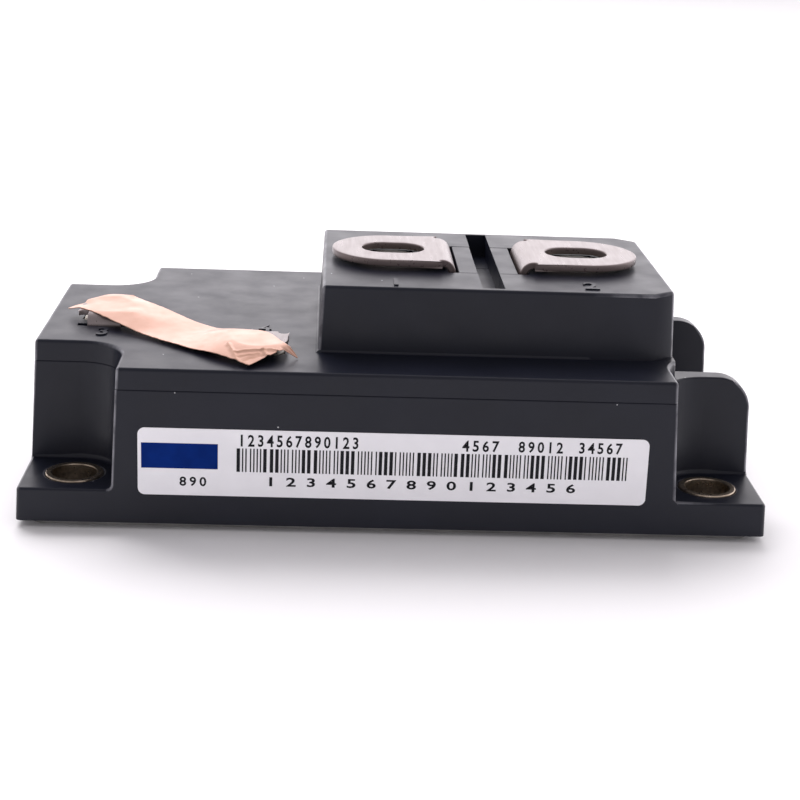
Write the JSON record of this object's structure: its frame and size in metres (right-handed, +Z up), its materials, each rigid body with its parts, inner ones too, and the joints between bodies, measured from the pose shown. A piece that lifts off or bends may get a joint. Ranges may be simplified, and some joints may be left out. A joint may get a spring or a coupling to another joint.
{
  "type": "power semiconductor module",
  "caption": "Low rectangular power module on a metal base plate: corner notches over screw holes, a raised tower with two screw terminals and two small control terminals.",
  "frame": {"origin": "centre of the base plate's underside, which is the bottom centre of the whole part", "axes": "+X along the case from the control end to the power end, +Y to the back, +Z up from the heat sink"},
  "size_m": [0.108, 0.062, 0.0354],
  "materials": {
    "case_plastic": "satin moulded",
    "plated_copper_plate": "nickel plated",
    "tinned_copper": "tin plated, satin",
    "bushing_metal": "chromated, dull",
    "nut_steel": "plated",
    "copper_foil": "bright rolled copper",
    "label_film": "white film",
    "ceramic": "unglazed",
    "bare_copper": "matt",
    "silicon": "metallised",
    "aluminium_wire": "drawn",
    "lead_insulation": "smooth",
    "silicone": "clear soft gel"
  },
  "bodies": {
    "root": {"base_plate": "plated_copper_plate", "case_frame": "case_plastic", "lid": "case_plastic", "tower_spacer": "case_plastic", "mounting_bushings": "bushing_metal", "emitter_terminal": "tinned_copper", "collector_terminal": "tinned_copper", "power_nuts": "nut_steel", "gate_terminal": "tinned_copper", "sense_terminal": "tinned_copper", "control_nuts": "nut_steel", "gate_lead": "lead_insulation", "sense_lead": "lead_insulation", "silicone_gel": "silicone", "rating_label": "label_film", "shorting_foil": "copper_foil", "link_wires": "aluminium_wire", "back_copper_left": "bare_copper", "ceramic_left": "ceramic", "circuit_copper_left": "bare_copper", "bond_wires_left": "aluminium_wire", "back_copper_right": "bare_copper", "ceramic_right": "ceramic", "circuit_copper_right": "bare_copper", "bond_wires_right": "aluminium_wire", "transistor_chip_1": "silicon", "diode_chip_1": "silicon", "transistor_chip_2": "silicon", "diode_chip_2": "silicon", "transistor_chip_3": "silicon", "diode_chip_3": "silicon", "transistor_chip_4": "silicon", "diode_chip_4": "silicon"}
  },
  "joints": []
}
